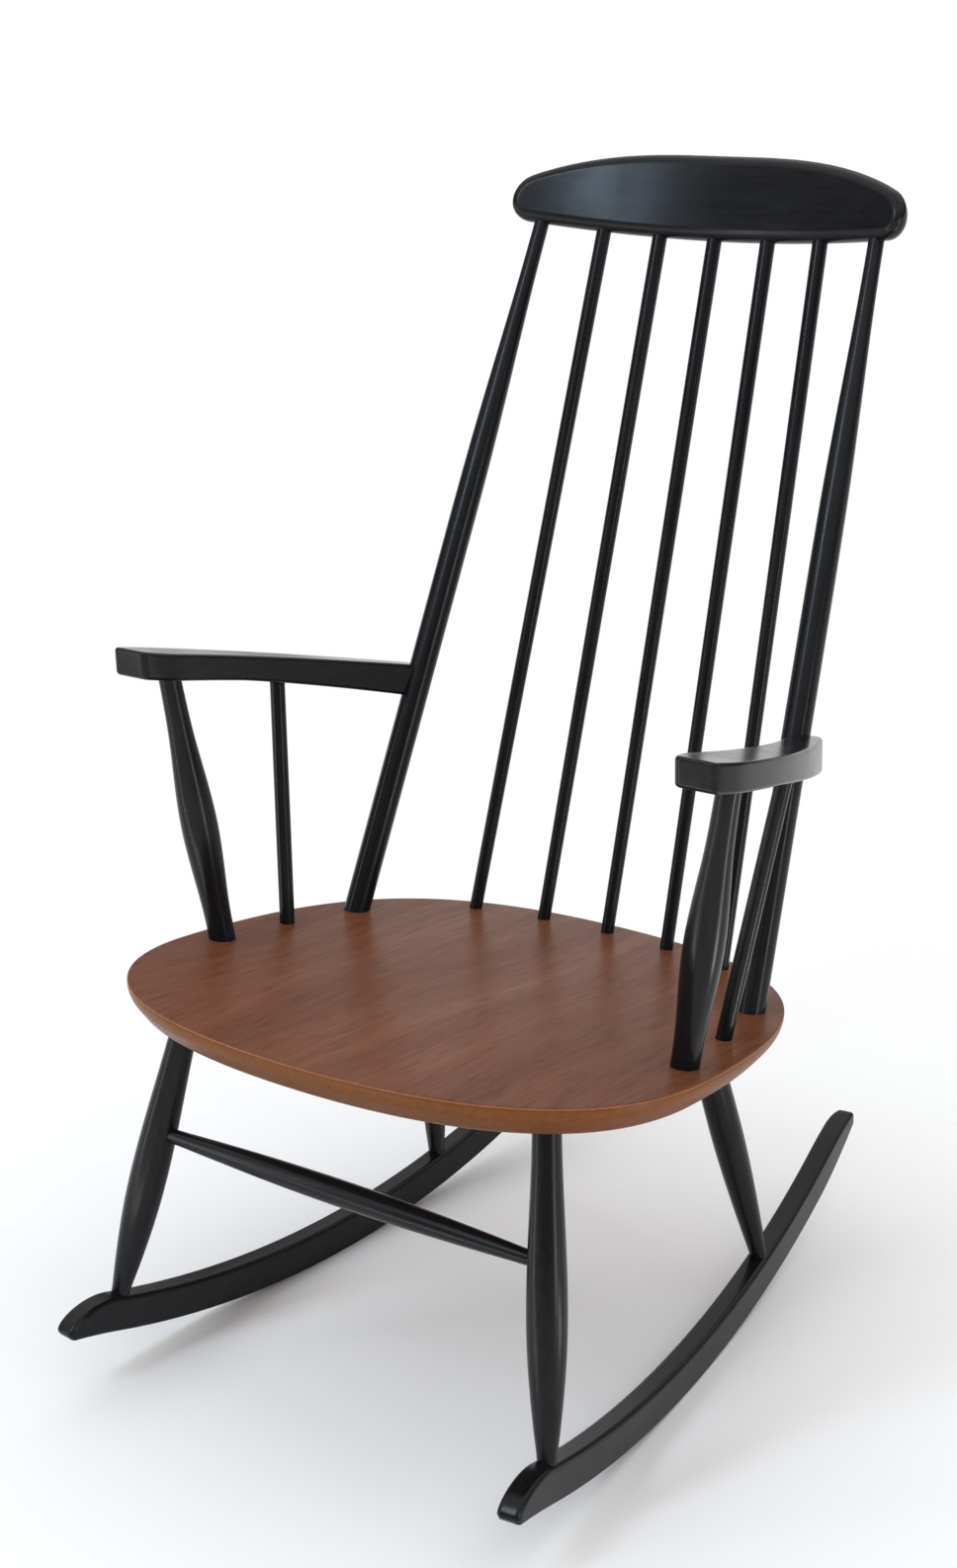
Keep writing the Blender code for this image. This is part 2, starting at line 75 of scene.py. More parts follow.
tail_corner_width = 0.010
upper_edge_round = 0.0048
lower_edge_share = 0.42
tail_edge_share = 0.4
tail_edge_over = 0.03
lacquer_black = (0.0045, 0.0047, 0.0056, 1.0)
lacquer_streak = (0.0100, 0.0103, 0.0120, 1.0)


def running_edge(y):
    """Height of the rocker's lower edge over the floor. It straightens out under the nose."""
    radius = rocker_front_radius if y < rocker_touch else rocker_rear_radius
    droop = nose_droop * (max(nose_start - y, 0.0) / rocker_nose) ** 2
    return radius - math.sqrt(radius**2 - (y - rocker_touch) ** 2) - droop


def upper_edge(y):
    """Height of its upper edge, which is rounded down at the tail."""
    share = min(max((y - rocker_touch) / rocker_slim_over, 0.0), 1.0)
    depth = rocker_depth + (rocker_rear_depth - rocker_depth) * share
    tail = max((y - rocker_rear) / tail_round + 1, 0.0)
    return running_edge(y) + depth - (depth - tail_depth) * tail**2


def black_lacquer(name, grain, lean=0.0):
    """Satin black lacquer, brushed thin enough that the run of the wood still shows in the sheen.

    grain holds how fine the streaks are along X, Y and Z; lean tips them back with a leaning piece.
    """
    paint = bpy.data.materials.new(name)
    paint.use_nodes = True
    nodes = paint.node_tree.nodes
    links = paint.node_tree.links
    shader = nodes["Principled BSDF"]
    place = nodes.new("ShaderNodeTexCoord")
    turn = nodes.new("ShaderNodeMapping")
    turn.inputs["Rotation"].default_value = (lean, 0.0, 0.0)
    links.new(place.outputs["Object"], turn.inputs["Vector"])
    stretch = nodes.new("ShaderNodeMapping")
    stretch.inputs["Scale"].default_value = grain
    links.new(turn.outputs["Vector"], stretch.inputs["Vector"])
    streaks = nodes.new("ShaderNodeTexNoise")
    streaks.inputs["Scale"].default_value = 1.0
    streaks.inputs["Detail"].default_value = 6.0
    streaks.inputs["Roughness"].default_value = 0.62
    links.new(stretch.outputs["Vector"], streaks.inputs["Vector"])
    clouds = nodes.new("ShaderNodeTexNoise")
    clouds.inputs["Scale"].default_value = 14.0
    clouds.inputs["Detail"].default_value = 4.0
    links.new(place.outputs["Object"], clouds.inputs["Vector"])
    dust = nodes.new("ShaderNodeTexNoise")
    dust.inputs["Scale"].default_value = 1100.0
    dust.inputs["Detail"].default_value = 2.0
    links.new(place.outputs["Object"], dust.inputs["Vector"])
    tint = nodes.new("ShaderNodeValToRGB")
    tint.color_ramp.elements[0].position = 0.32
    tint.color_ramp.elements[0].color = lacquer_black
    tint.color_ramp.elements[1].position = 0.72
    tint.color_ramp.elements[1].color = lacquer_streak
    links.new(streaks.outputs["Fac"], tint.inputs["Fac"])
    links.new(tint.outputs["Color"], shader.inputs["Base Color"])
    rub = nodes.new("ShaderNodeMapRange")
    rub.inputs["From Min"].default_value = 0.30
    rub.inputs["From Max"].default_value = 0.70
    rub.inputs["To Min"].default_value = 0.18
    rub.inputs["To Max"].default_value = 0.29
    links.new(clouds.outputs["Fac"], rub.inputs["Value"])
    links.new(rub.outputs["Result"], shader.inputs["Roughness"])
    ridges = nodes.new("ShaderNodeBump")
    ridges.inputs["Strength"].default_value = 0.16
    ridges.inputs["Distance"].default_value = 0.0004
    links.new(streaks.outputs["Fac"], ridges.inputs["Height"])
    specks = nodes.new("ShaderNodeBump")
    specks.inputs["Strength"].default_value = 0.06
    specks.inputs["Distance"].default_value = 0.0002
    links.new(dust.outputs["Fac"], specks.inputs["Height"])
    links.new(ridges.outputs["Normal"], specks.inputs["Normal"])
    links.new(specks.outputs["Normal"], shader.inputs["Normal"])
    shader.inputs["Specular IOR Level"].default_value = 0.20
    return paint


weld = 0.00002
hair = 0.00005
sharp = math.radians(35)


def pick(piece):
    """Selects one piece alone, so that the next steps work on nothing else."""
    bpy.ops.object.select_all(action="DESELECT")
    piece.select_set(True)
    bpy.context.view_layer.objects.active = piece


def outline_board(name, outline, thickness):
    """A board of even thickness, sawn to a closed outline of (across, up) points and lying flat."""
    bpy.ops.object.select_all(action="DESELECT")
    bpy.ops.curve.primitive_bezier_circle_add(radius=0.1)
    sawn = bpy.context.object
    curve = sawn.data
    curve.dimensions = "2D"
    curve.fill_mode = "BOTH"
    curve.extrude = thickness / 2
    curve.splines.remove(curve.splines[0])
    line = curve.splines.new("POLY")
    line.points.add(len(outline) - 1)
    line.use_cyclic_u = True
    for point, (across, up) in zip(line.points, outline):
        point.co = (across, up, 0.0, 1.0)
    bpy.ops.object.convert(target="MESH")
    board = bpy.context.object
    board.name = name
    board.data.name = name
    board.data.materials.clear()
    bpy.ops.object.mode_set(mode="EDIT")
    bpy.ops.mesh.select_all(action="SELECT")
    bpy.ops.mesh.remove_doubles(threshold=weld)
    bpy.ops.mesh.normals_make_consistent(inside=False)
    bpy.ops.mesh.select_mode(type="FACE")
    bpy.ops.mesh.select_all(action="DESELECT")
    shape = bmesh.from_edit_mesh(board.data)
    for face in shape.faces:
        face.select = abs(face.normal.z) > 0.9
    bmesh.update_edit_mesh(board.data)
    bpy.ops.mesh.dissolve_faces()
    bpy.ops.mesh.select_mode(type="VERT")
    bpy.ops.object.mode_set(mode="OBJECT")
    return board


def is_sharp(edge):
    """Whether two faces meet in a corner along an edge."""
    return len(edge.link_faces) == 2 and edge.calc_face_angle() > sharp


def round_over(piece, chosen, radius, segments):
    """Rounds the sharp edges of a piece that the given test picks."""
    pick(piece)
    bpy.ops.object.mode_set(mode="EDIT")
    bpy.ops.mesh.select_mode(type="EDGE")
    bpy.ops.mesh.select_all(action="DESELECT")
    shape = bmesh.from_edit_mesh(piece.data)
    for edge in shape.edges:
        edge.select = is_sharp(edge) and chosen(edge)
    bmesh.update_edit_mesh(piece.data)
    bpy.ops.mesh.bevel(offset=radius, segments=segments, affect="EDGES", clamp_overlap=False)
    bpy.ops.mesh.select_mode(type="VERT")
    bpy.ops.mesh.select_all(action="SELECT")
    bpy.ops.mesh.remove_doubles(threshold=weld)
    bpy.ops.object.mode_set(mode="OBJECT")


def cut_across(piece, stations):
    """Cuts a piece across at each place along its X."""
    pick(piece)
    bpy.ops.object.mode_set(mode="EDIT")
    for station in stations:
        bpy.ops.mesh.select_all(action="SELECT")
        bpy.ops.mesh.bisect(plane_co=(station, 0, 0), plane_no=(1, 0, 0))
    bpy.ops.mesh.select_all(action="SELECT")
    bpy.ops.mesh.remove_doubles(threshold=weld / 2)
    bpy.ops.object.mode_set(mode="OBJECT")


def set_in_place(piece, place, turn):
    """Moves and turns a piece to where it belongs and leaves its object at the origin."""
    pick(piece)
    piece.matrix_world = Matrix.Translation(place) @ turn.to_4x4()
    bpy.ops.object.transform_apply(location=True, rotation=True, scale=True)


def other_side(piece, name):
    """A copy of a left-hand piece for the sitter's right, mirrored across the middle of the chair."""
    pick(piece)
    bpy.ops.object.duplicate()
    copy = bpy.context.object
    copy.name = name
    copy.data.name = name
    copy.scale.x = -1.0
    bpy.ops.object.transform_apply(location=True, rotation=True, scale=True)
    bpy.ops.object.mode_set(mode="EDIT")
    bpy.ops.mesh.select_all(action="SELECT")
    bpy.ops.mesh.normals_make_consistent(inside=False)
    bpy.ops.object.mode_set(mode="OBJECT")
    return copy


def fix_to_chair(piece, node, finish, crease=40):
    """Gives a finished piece its finish and fixes it to the frame in place of its solid."""
    pick(piece)
    bpy.ops.object.shade_smooth_by_angle(angle=math.radians(crease))
    bpy.ops.object.modifier_add(type="WEIGHTED_NORMAL")
    piece.modifiers[-1].keep_sharp = True
    bpy.ops.object.modifier_apply(modifier=piece.modifiers[-1].name)
    piece.data.materials.clear()
    piece.data.materials.append(finish)
    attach(piece, "root")
    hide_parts(node)


nose_cuts = (0.020, 0.038)
tail_cuts = (0.016, 0.010, 0.005)
nose_points = (0.050, 0.044, 0.038, 0.032, 0.026, 0.020, 0.015, 0.010, 0.006, 0.002, 0.0)
body_cuts = 34
body_length = rocker_rear - tail_corner_length - nose_start
stations = [rocker_front + room for room in nose_cuts]
stations += [nose_start + body_length * step / body_cuts for step in range(body_cuts + 1)]
stations += [rocker_rear - room for room in tail_cuts]
rocker_outline = [(rocker_front + tip_setback, running_edge(rocker_front + tip_setback))]
for y in stations + [rocker_rear]:
    lift = tail_lift * max((y - rocker_rear + tail_lift_over) / tail_lift_over, 0.0) ** tail_lift_power
    rocker_outline.append((y, running_edge(y) + lift))
rocker_outline.append((rocker_rear, upper_edge(rocker_rear) - tail_ease))
for y in reversed(stations[len(nose_cuts):]):
    rocker_outline.append((y, upper_edge(y)))
for room in nose_points:
    y = rocker_front + room
    turn = math.asin((1 - room / rocker_nose) ** (1 / nose_fullness))
    drop = max(math.cos(turn), 0.0) ** nose_fullness
    rocker_outline.append((y, running_edge(y) + tip_height + (rocker_depth - tip_height) * drop))
rocker = outline_board("rocker_bar_left", rocker_outline, rocker_width)
cut_across(rocker, stations)

# The inner corner of the tail is rounded in plan.
for vert in rocker.data.vertices:
    if vert.co.z < 0:
        into_tail = max(1 - max(rocker_rear - vert.co.x, 0.0) / tail_corner_length, 0.0)
        vert.co.z += tail_corner_width * (1 - math.sqrt(1 - into_tail**2))

# The upper edges take the full rounding, less towards the tail, and the lower edges and ends a lighter one.
bpy.ops.object.mode_set(mode="EDIT")
shape = bmesh.from_edit_mesh(rocker.data)
rounding = shape.edges.layers.float.new("bevel_weight_edge")
for edge in shape.edges:
    step_along, step_up, step_through = (abs(a - b) for a, b in zip(edge.verts[0].co, edge.verts[1].co))
    at_tail = min(v.co.x for v in edge.verts) > rocker_rear - hair
    at_tip = min(v.co.x for v in edge.verts) < rocker_front + 10 * hair
    cut_line = step_along < hair and step_up > step_through and not at_tail
    if is_sharp(edge) and not cut_line:
        above = sum(v.co.y - running_edge(v.co.x) for v in edge.verts) / 2
        across = step_through > step_along + step_up
        upper = 1.0 if (above > tip_height or at_tip) and not across else 0.0
        from_tail = rocker_rear - max(v.co.x for v in edge.verts)
        full = tail_edge_share + (1 - tail_edge_share) * min(from_tail / tail_edge_over, 1.0)
        edge[rounding] = lower_edge_share + (1 - lower_edge_share) * upper * full
bmesh.update_edit_mesh(rocker.data)
bpy.ops.object.mode_set(mode="OBJECT")
bpy.ops.object.modifier_add(type="BEVEL")
rocker.modifiers[-1].limit_method = "WEIGHT"
rocker.modifiers[-1].width = upper_edge_round
rocker.modifiers[-1].segments = 5
rocker.modifiers[-1].use_clamp_overlap = False
bpy.ops.object.modifier_apply(modifier=rocker.modifiers[-1].name)
set_in_place(
    rocker,
    Vector((rocker_x, rocker_middle_y, 0.0)),
    Matrix.Rotation(math.pi / 2 - rocker_toe, 3, "Z")
    @ Matrix.Rotation(math.pi / 2, 3, "X")
    @ Matrix.Diagonal((1 / math.cos(rocker_toe), 1.0, 1.0)),
)
rocker_paint = black_lacquer("black_lacquer_rockers", (150.0, 7.0, 150.0))
rocker_right = other_side(rocker, "rocker_bar_right")
fix_to_chair(rocker, "rocker_left", rocker_paint)
fix_to_chair(rocker_right, "rocker_right", rocker_paint)


# Legs: four splayed, turned legs, thin at the foot and swelling to a belly, the front pair the stouter.
# Black satin lacquer over hardwood. Each is glued into the rocker below and into the underside of the seat.
front_leg_foot = (0.2383, -0.3124, 0.0771)
front_leg_head = (0.1946, -0.2417, 0.3467)
front_leg_girth = (
    (0.0, 0.0083), (0.1, 0.0114), (0.2, 0.0142), (0.3, 0.0162), (0.4, 0.0171), (0.5, 0.0170),
    (0.6, 0.0162), (0.7, 0.0150), (0.8, 0.0137), (0.9, 0.0127), (1.0, 0.0123),
)
rear_leg_foot = (0.1938, 0.1195, 0.0464)
rear_leg_head = (0.1560, 0.0623, 0.3094)
rear_leg_girth = (
    (0.0, 0.0083), (0.12, 0.0104), (0.25, 0.0127), (0.4, 0.0146), (0.5, 0.0153),
    (0.6, 0.0154), (0.72, 0.0150), (0.86, 0.0137), (1.0, 0.0123),
)


def turn_on_lathe(name, low, high, girth, tenon=0.007, faces=40):
    """A round piece: half of its outline spun about its axis, then laid from its low joint to its high one.

    girth lists (share of the length, radius); a short plain tenon carries on past each joint.
    """
    low = Vector(low)
    high = Vector(high)
    length = (high - low).length
    half = [(0.0, -tenon), (girth[0][1], -tenon)]
    half += [(radius, share * length) for share, radius in girth]
    half += [(girth[-1][1], length + tenon), (0.0, length + tenon)]
    bpy.ops.object.select_all(action="DESELECT")
    bpy.ops.curve.primitive_bezier_curve_add()
    template = bpy.context.object
    line = template.data.splines[0]
    line.bezier_points.add(len(half) - 2)
    for number, (point, (radius, along)) in enumerate(zip(line.bezier_points, half)):
        plain = number < 2 or number > len(half) - 3
        point.handle_left_type = "VECTOR" if plain else "AUTO"
        point.handle_right_type = "VECTOR" if plain else "AUTO"
        point.co = (radius, 0.0, along)
    template.data.resolution_u = 5
    bpy.ops.object.convert(target="MESH")
    turned = bpy.context.object
    turned.name = name
    turned.data.name = name
    bpy.ops.object.transform_apply(location=True, rotation=True, scale=True)
    bpy.ops.object.mode_set(mode="EDIT")
    bpy.ops.mesh.select_all(action="SELECT")
    bpy.ops.mesh.spin(steps=faces, angle=math.tau, center=(0, 0, 0), axis=(0, 0, 1))
    bpy.ops.mesh.select_all(action="SELECT")
    bpy.ops.mesh.remove_doubles(threshold=weld)
    bpy.ops.mesh.normals_make_consistent(inside=False)
    bpy.ops.object.mode_set(mode="OBJECT")
    set_in_place(turned, low, Vector((0, 0, 1)).rotation_difference(high - low).to_matrix())
    return turned


leg_paint = black_lacquer("black_lacquer_legs", (170.0, 170.0, 9.0))
front_leg = turn_on_lathe("front_leg_turned_left", front_leg_foot, front_leg_head, front_leg_girth)
front_leg_right = other_side(front_leg, "front_leg_turned_right")
fix_to_chair(front_leg, "front_leg_left", leg_paint)
fix_to_chair(front_leg_right, "front_leg_right", leg_paint)
rear_leg = turn_on_lathe("rear_leg_turned_left", rear_leg_foot, rear_leg_head, rear_leg_girth)
rear_leg_right = other_side(rear_leg, "rear_leg_turned_right")
fix_to_chair(rear_leg, "rear_leg_left", leg_paint)
fix_to_chair(rear_leg_right, "rear_leg_right", leg_paint)


# Stretcher: one rung between the front legs, turned to a long double taper, thickest at the middle.
# Black satin lacquer. Its ends are glued into holes bored in the legs.
stretcher_half = 0.1980
stretcher_y = -0.2715
stretcher_z = 0.2330
stretcher_girth = (
    (0.0, 0.0066), (0.125, 0.0085), (0.25, 0.0102), (0.375, 0.0113), (0.5, 0.0117),
    (0.625, 0.0113), (0.75, 0.0102), (0.875, 0.0085), (1.0, 0.0066),
)
stretcher = turn_on_lathe(
    "front_stretcher_turned",
    (-stretcher_half, stretcher_y, stretcher_z),
    (stretcher_half, stretcher_y, stretcher_z),
    stretcher_girth,
)
stretcher_paint = black_lacquer("black_lacquer_stretcher", (9.0, 170.0, 170.0))
fix_to_chair(stretcher, "front_stretcher", stretcher_paint)


# Seat: one thick board of teak with a rounded D outline, the grain from front to back, sloping to the back.
# Its top edge is barely eased and the underside is chamfered in, so the rim looks thin. Satin oil finish.
# All legs, posts, spindles and arm supports are glued into it.
seat_middle = Vector((0.0, -0.0347, 0.3515))
seat_slope = math.radians(7.0)
seat_thick = 0.030
seat_rim = 0.0095
seat_inset = 0.017
seat_half_width = 0.2865
seat_front = -0.315
seat_back = 0.214
seat_widest = -0.111
seat_side = (seat_half_width, seat_widest)
seat_front_fullness = 0.185
seat_front_corner = 0.131
seat_back_fullness = 0.224
seat_back_corner = 0.205
seat_outline_steps = 44
seat_top_ease = 0.0016
seat_rim_round = 0.0065
seat_under_round = 0.007
seat_top_z = seat_rim / 2
teak_dark = (0.125, 0.041, 0.0195, 1.0)
teak_middle = (0.166, 0.058, 0.028, 1.0)
teak_pale = (0.225, 0.085, 0.042, 1.0)
# Rim colour by height: darker on the chamfer, a thin dark line, then a painted highlight along the eased top
# edge.
rim_bottom = (0.130, 0.050, 0.020, 1.0)
rim_stops_with_painted_highlight = (
    (0.55, (0.150, 0.052, 0.015, 1.0)),
    (0.72, (0.175, 0.060, 0.0170, 1.0)),
    (0.880, (0.175, 0.060, 0.0170, 1.0)),
    (0.925, (0.120, 0.041, 0.015, 1.0)),
    (0.955, (0.310, 0.130, 0.058, 1.0)),
    (0.985, (0.250, 0.096, 0.040, 1.0)),
)


def bow(start, lean_out, lean_in, end):
    """Points along one quarter of the outline, from a middle point to a side point or back."""
    points = []
    for step in range(seat_outline_steps):
        t = step / seat_outline_steps
        share = ((1 - t) ** 3, 3 * t * (1 - t) ** 2, 3 * t * t * (1 - t), t**3)
        across = share[0] * start[0] + share[1] * lean_out[0] + share[2] * lean_in[0] + share[3] * end[0]
        along = share[0] * start[1] + share[1] * lean_out[1] + share[2] * lean_in[1] + share[3] * end[1]
        points.append((across, along))
    return points


right_half = bow(
    (0.0, seat_front),
    (seat_front_fullness, seat_front),
    (seat_half_width, seat_widest - seat_front_corner),
    seat_side,
)
right_half += bow(
    seat_side,
    (seat_half_width, seat_widest + seat_back_corner),
    (seat_back_fullness, seat_back),
    (0.0, seat_back),
)
seat_outline = right_half + [(0.0, seat_back)] + [(-x, y) for x, y in reversed(right_half[1:])]
seat = outline_board("seat_board", seat_outline, seat_rim)
bpy.ops.object.mode_set(mode="EDIT")
bpy.ops.mesh.select_mode(type="FACE")
bpy.ops.mesh.select_all(action="DESELECT")
shape = bmesh.from_edit_mesh(seat.data)
for face in shape.faces:
    face.select = face.normal.z < -0.9
bmesh.update_edit_mesh(seat.data)
bpy.ops.mesh.inset(thickness=seat_inset, depth=0.0)
bpy.ops.transform.translate(value=(0.0, 0.0, seat_rim - seat_thick))
bpy.ops.object.mode_set(mode="OBJECT")
round_over(seat, lambda edge: edge.verts[0].co.z > seat_top_z - 2 * hair, seat_top_ease, segments=4)

# The line between rim and chamfer, and then the edge of the flat underside, are softened.
pick(seat)
bpy.ops.object.mode_set(mode="EDIT")
bpy.ops.mesh.select_mode(type="EDGE")
bpy.ops.mesh.select_all(action="DESELECT")
shape = bmesh.from_edit_mesh(seat.data)
for edge in shape.edges:
    flat = abs(edge.verts[0].co.z - edge.verts[1].co.z) < 4 * hair
    edge.select = flat and abs(max(v.co.z for v in edge.verts) + seat_rim / 2) < 4 * hair
bmesh.update_edit_mesh(seat.data)
bpy.ops.mesh.bevel(offset=seat_rim_round, segments=6, affect="EDGES", clamp_overlap=True)
bpy.ops.mesh.select_all(action="DESELECT")
shape = bmesh.from_edit_mesh(seat.data)
for edge in shape.edges:
    edge.select = max(v.co.z for v in edge.verts) < seat_top_z - seat_thick + 4 * hair
bmesh.update_edit_mesh(seat.data)
bpy.ops.mesh.bevel(offset=seat_under_round, segments=4, affect="EDGES", clamp_overlap=True)
bpy.ops.mesh.select_mode(type="VERT")
bpy.ops.object.mode_set(mode="OBJECT")
set_in_place(
    seat,
    seat_middle - Vector((0.0, math.sin(seat_slope), math.cos(seat_slope))) * seat_top_z,
    Matrix.Rotation(-seat_slope, 3, "X"),
)

teak = bpy.data.materials.new("oiled_teak")
teak.use_nodes = True
nodes = teak.node_tree.nodes
links = teak.node_tree.links
shader = nodes["Principled BSDF"]
place = nodes.new("ShaderNodeTexCoord")
centre = nodes.new("ShaderNodeMapping")
centre.inputs["Location"].default_value = (
    0.0,
    -seat_middle.y * math.cos(seat_slope) + seat_middle.z * math.sin(seat_slope),
    -seat_middle.z * math.cos(seat_slope) - seat_middle.y * math.sin(seat_slope),
)
centre.inputs["Rotation"].default_value = (seat_slope, 0.0, 0.0)
links.new(place.outputs["Object"], centre.inputs["Vector"])
height = nodes.new("ShaderNodeSeparateXYZ")
links.new(centre.outputs["Vector"], height.inputs["Vector"])

wander = nodes.new("ShaderNodeTexNoise")
wander.inputs["Scale"].default_value = 3.2
wander.inputs["Detail"].default_value = 2.0
links.new(centre.outputs["Vector"], wander.inputs["Vector"])
drift = nodes.new("ShaderNodeVectorMath")
drift.operation = "MULTIPLY_ADD"
drift.inputs[1].default_value = (0.05, 0.0, 0.02)
links.new(wander.outputs["Color"], drift.inputs[0])
links.new(centre.outputs["Vector"], drift.inputs[2])


def grain_layer(scale, detail, roughness):
    """Noise drawn out along the board, at its own fineness across and along."""
    stretch = nodes.new("ShaderNodeMapping")
    stretch.inputs["Scale"].default_value = scale
    links.new(drift.outputs["Vector"], stretch.inputs["Vector"])
    layer = nodes.new("ShaderNodeTexNoise")
    layer.inputs["Scale"].default_value = 1.0
    layer.inputs["Detail"].default_value = detail
    layer.inputs["Roughness"].default_value = roughness
    links.new(stretch.outputs["Vector"], layer.inputs["Vector"])
    return layer


bands = grain_layer((26.0, 1.6, 26.0), 4.0, 0.55)
fibres = grain_layer((230.0, 9.0, 230.0), 5.0, 0.65)
pores = grain_layer((620.0, 26.0, 620.0), 2.0, 0.5)

wood = nodes.new("ShaderNodeValToRGB")
wood.color_ramp.elements[0].position = 0.30
wood.color_ramp.elements[0].color = teak_dark
wood.color_ramp.elements[1].position = 0.72
wood.color_ramp.elements[1].color = teak_pale
middle = wood.color_ramp.elements.new(0.50)
middle.color = teak_middle
blend = nodes.new("ShaderNodeMix")
blend.data_type = "FLOAT"
blend.inputs["Factor"].default_value = 0.42
links.new(bands.outputs["Fac"], blend.inputs["A"])
links.new(fibres.outputs["Fac"], blend.inputs["B"])
links.new(blend.outputs["Result"], wood.inputs["Fac"])

pore_mask = nodes.new("ShaderNodeMapRange")
pore_mask.inputs["From Min"].default_value = 0.36
pore_mask.inputs["From Max"].default_value = 0.46
pore_mask.inputs["To Min"].default_value = 0.55
pore_mask.inputs["To Max"].default_value = 1.0
links.new(pores.outputs["Fac"], pore_mask.inputs["Value"])
pored = nodes.new("ShaderNodeMix")
pored.data_type = "RGBA"
pored.blend_type = "MULTIPLY"
pored.inputs["Factor"].default_value = 0.75
links.new(wood.outputs["Color"], pored.inputs["A"])
links.new(pore_mask.outputs["Result"], pored.inputs["B"])

# The rim is coloured by height, with a painted highlight as a pale line along its eased top edge.
rim = nodes.new("ShaderNodeValToRGB")
rim.color_ramp.elements[0].position = 0.0
rim.color_ramp.elements[0].color = rim_bottom
rim.color_ramp.elements[1].position = 1.0
rim.color_ramp.elements[1].color = (0.0, 0.0, 0.0, 1.0)
for position, colour in rim_stops_with_painted_highlight:
    stop = rim.color_ramp.elements.new(position)
    stop.color = colour
rim_range = nodes.new("ShaderNodeMapRange")
rim_range.inputs["From Min"].default_value = -seat_thick
rim_range.inputs["From Max"].default_value = 0.0
links.new(height.outputs["Z"], rim_range.inputs["Value"])
links.new(rim_range.outputs["Result"], rim.inputs["Fac"])
rim_wood = nodes.new("ShaderNodeMix")
rim_wood.data_type = "RGBA"
rim_wood.blend_type = "MULTIPLY"
rim_wood.inputs["Factor"].default_value = 0.5
rim_streaks = nodes.new("ShaderNodeMapRange")
rim_streaks.inputs["From Min"].default_value = 0.3
rim_streaks.inputs["From Max"].default_value = 0.7
rim_streaks.inputs["To Min"].default_value = 0.62
rim_streaks.inputs["To Max"].default_value = 1.25
links.new(fibres.outputs["Fac"], rim_streaks.inputs["Value"])
links.new(rim.outputs["Color"], rim_wood.inputs["A"])
links.new(rim_streaks.outputs["Result"], rim_wood.inputs["B"])
on_top = nodes.new("ShaderNodeMapRange")
on_top.inputs["From Min"].default_value = -0.0011
on_top.inputs["From Max"].default_value = -0.0003
links.new(height.outputs["Z"], on_top.inputs["Value"])
board_colour = nodes.new("ShaderNodeMix")
board_colour.data_type = "RGBA"
links.new(on_top.outputs["Result"], board_colour.inputs["Factor"])
links.new(rim_wood.outputs["Result"], board_colour.inputs["A"])
links.new(pored.outputs["Result"], board_colour.inputs["B"])
links.new(board_colour.outputs["Result"], shader.inputs["Base Color"])

polish = nodes.new("ShaderNodeMapRange")
polish.inputs["From Min"].default_value = 0.3
polish.inputs["From Max"].default_value = 0.7
polish.inputs["To Min"].default_value = 0.38
polish.inputs["To Max"].default_value = 0.29
links.new(blend.outputs["Result"], polish.inputs["Value"])
links.new(polish.outputs["Result"], shader.inputs["Roughness"])
fibre_ridges = nodes.new("ShaderNodeBump")
fibre_ridges.inputs["Strength"].default_value = 0.22
fibre_ridges.inputs["Distance"].default_value = 0.0004
links.new(fibres.outputs["Fac"], fibre_ridges.inputs["Height"])
pore_pits = nodes.new("ShaderNodeBump")
pore_pits.inputs["Strength"].default_value = 0.20
pore_pits.inputs["Distance"].default_value = 0.0003
links.new(pore_mask.outputs["Result"], pore_pits.inputs["Height"])
links.new(fibre_ridges.outputs["Normal"], pore_pits.inputs["Normal"])
links.new(pore_pits.outputs["Normal"], shader.inputs["Normal"])
shader.inputs["Specular IOR Level"].default_value = 0.095
fix_to_chair(seat, "seat", teak, crease=30)


# Back posts: the stout outer uprights of the back, turned even to above the arms and tapered from there up.
# Black satin lacquer. They are glued into the seat and the crest rail, and the arms are housed round them.
post_foot = (0.2248, 0.0411, 0.3422)
post_head = (0.1834, 0.3243, 0.9875)
post_girth = (
    (0.0, 0.01285), (0.2, 0.01285), (0.4, 0.01285), (0.52, 0.0128), (0.60, 0.0127),
    (0.68, 0.0122), (0.76, 0.0109), (0.84, 0.0093), (0.92, 0.0079), (1.0, 0.0073),
)
back_tenon = 0.010
post_lean = math.atan2(post_head[1] - post_foot[1], post_head[2] - post_foot[2])
back_paint = black_lacquer("black_lacquer_back", (170.0, 170.0, 8.0), lean=post_lean)
post = turn_on_lathe("back_post_turned_left", post_foot, post_head, post_girth, tenon=back_tenon)
post_right = other_side(post, "back_post_turned_right")
fix_to_chair(post, "back_post_left", back_paint)
fix_to_chair(post_right, "back_post_right", back_paint)


# Back spindles: five thin round rods in an even fan, a hair stouter at the top than at the seat.
# Black satin lacquer. Both ends are glued into bored holes.
spindle_ends = (
    ((-0.1428, 0.1305, 0.3312), (-0.1190, 0.3382, 0.9813)),
    ((-0.0714, 0.1476, 0.3291), (-0.0595, 0.3458, 0.9777)),
    ((0.0000, 0.1533, 0.3284), (0.0000, 0.3483, 0.9765)),
    ((0.0714, 0.1476, 0.3291), (0.0595, 0.3458, 0.9777)),
    ((0.1428, 0.1305, 0.3312), (0.1190, 0.3382, 0.9813)),
)
spindle_girth = ((0.0, 0.0064), (0.25, 0.0067), (0.5, 0.0070), (0.75, 0.0072), (1.0, 0.0073))
rod_faces = 28
middle_foot, middle_head = spindle_ends[2]
spindle_lean = math.atan2(middle_head[1] - middle_foot[1], middle_head[2] - middle_foot[2])
spindle_paint = black_lacquer("black_lacquer_spindles", (190.0, 190.0, 8.0), lean=spindle_lean)
for number, (foot, head) in enumerate(spindle_ends, start=1):
    rod_name = f"back_spindle_turned_{number}"
    spindle = turn_on_lathe(rod_name, foot, head, spindle_girth, tenon=back_tenon, faces=rod_faces)
    fix_to_chair(spindle, f"back_spindle_{number}", spindle_paint)


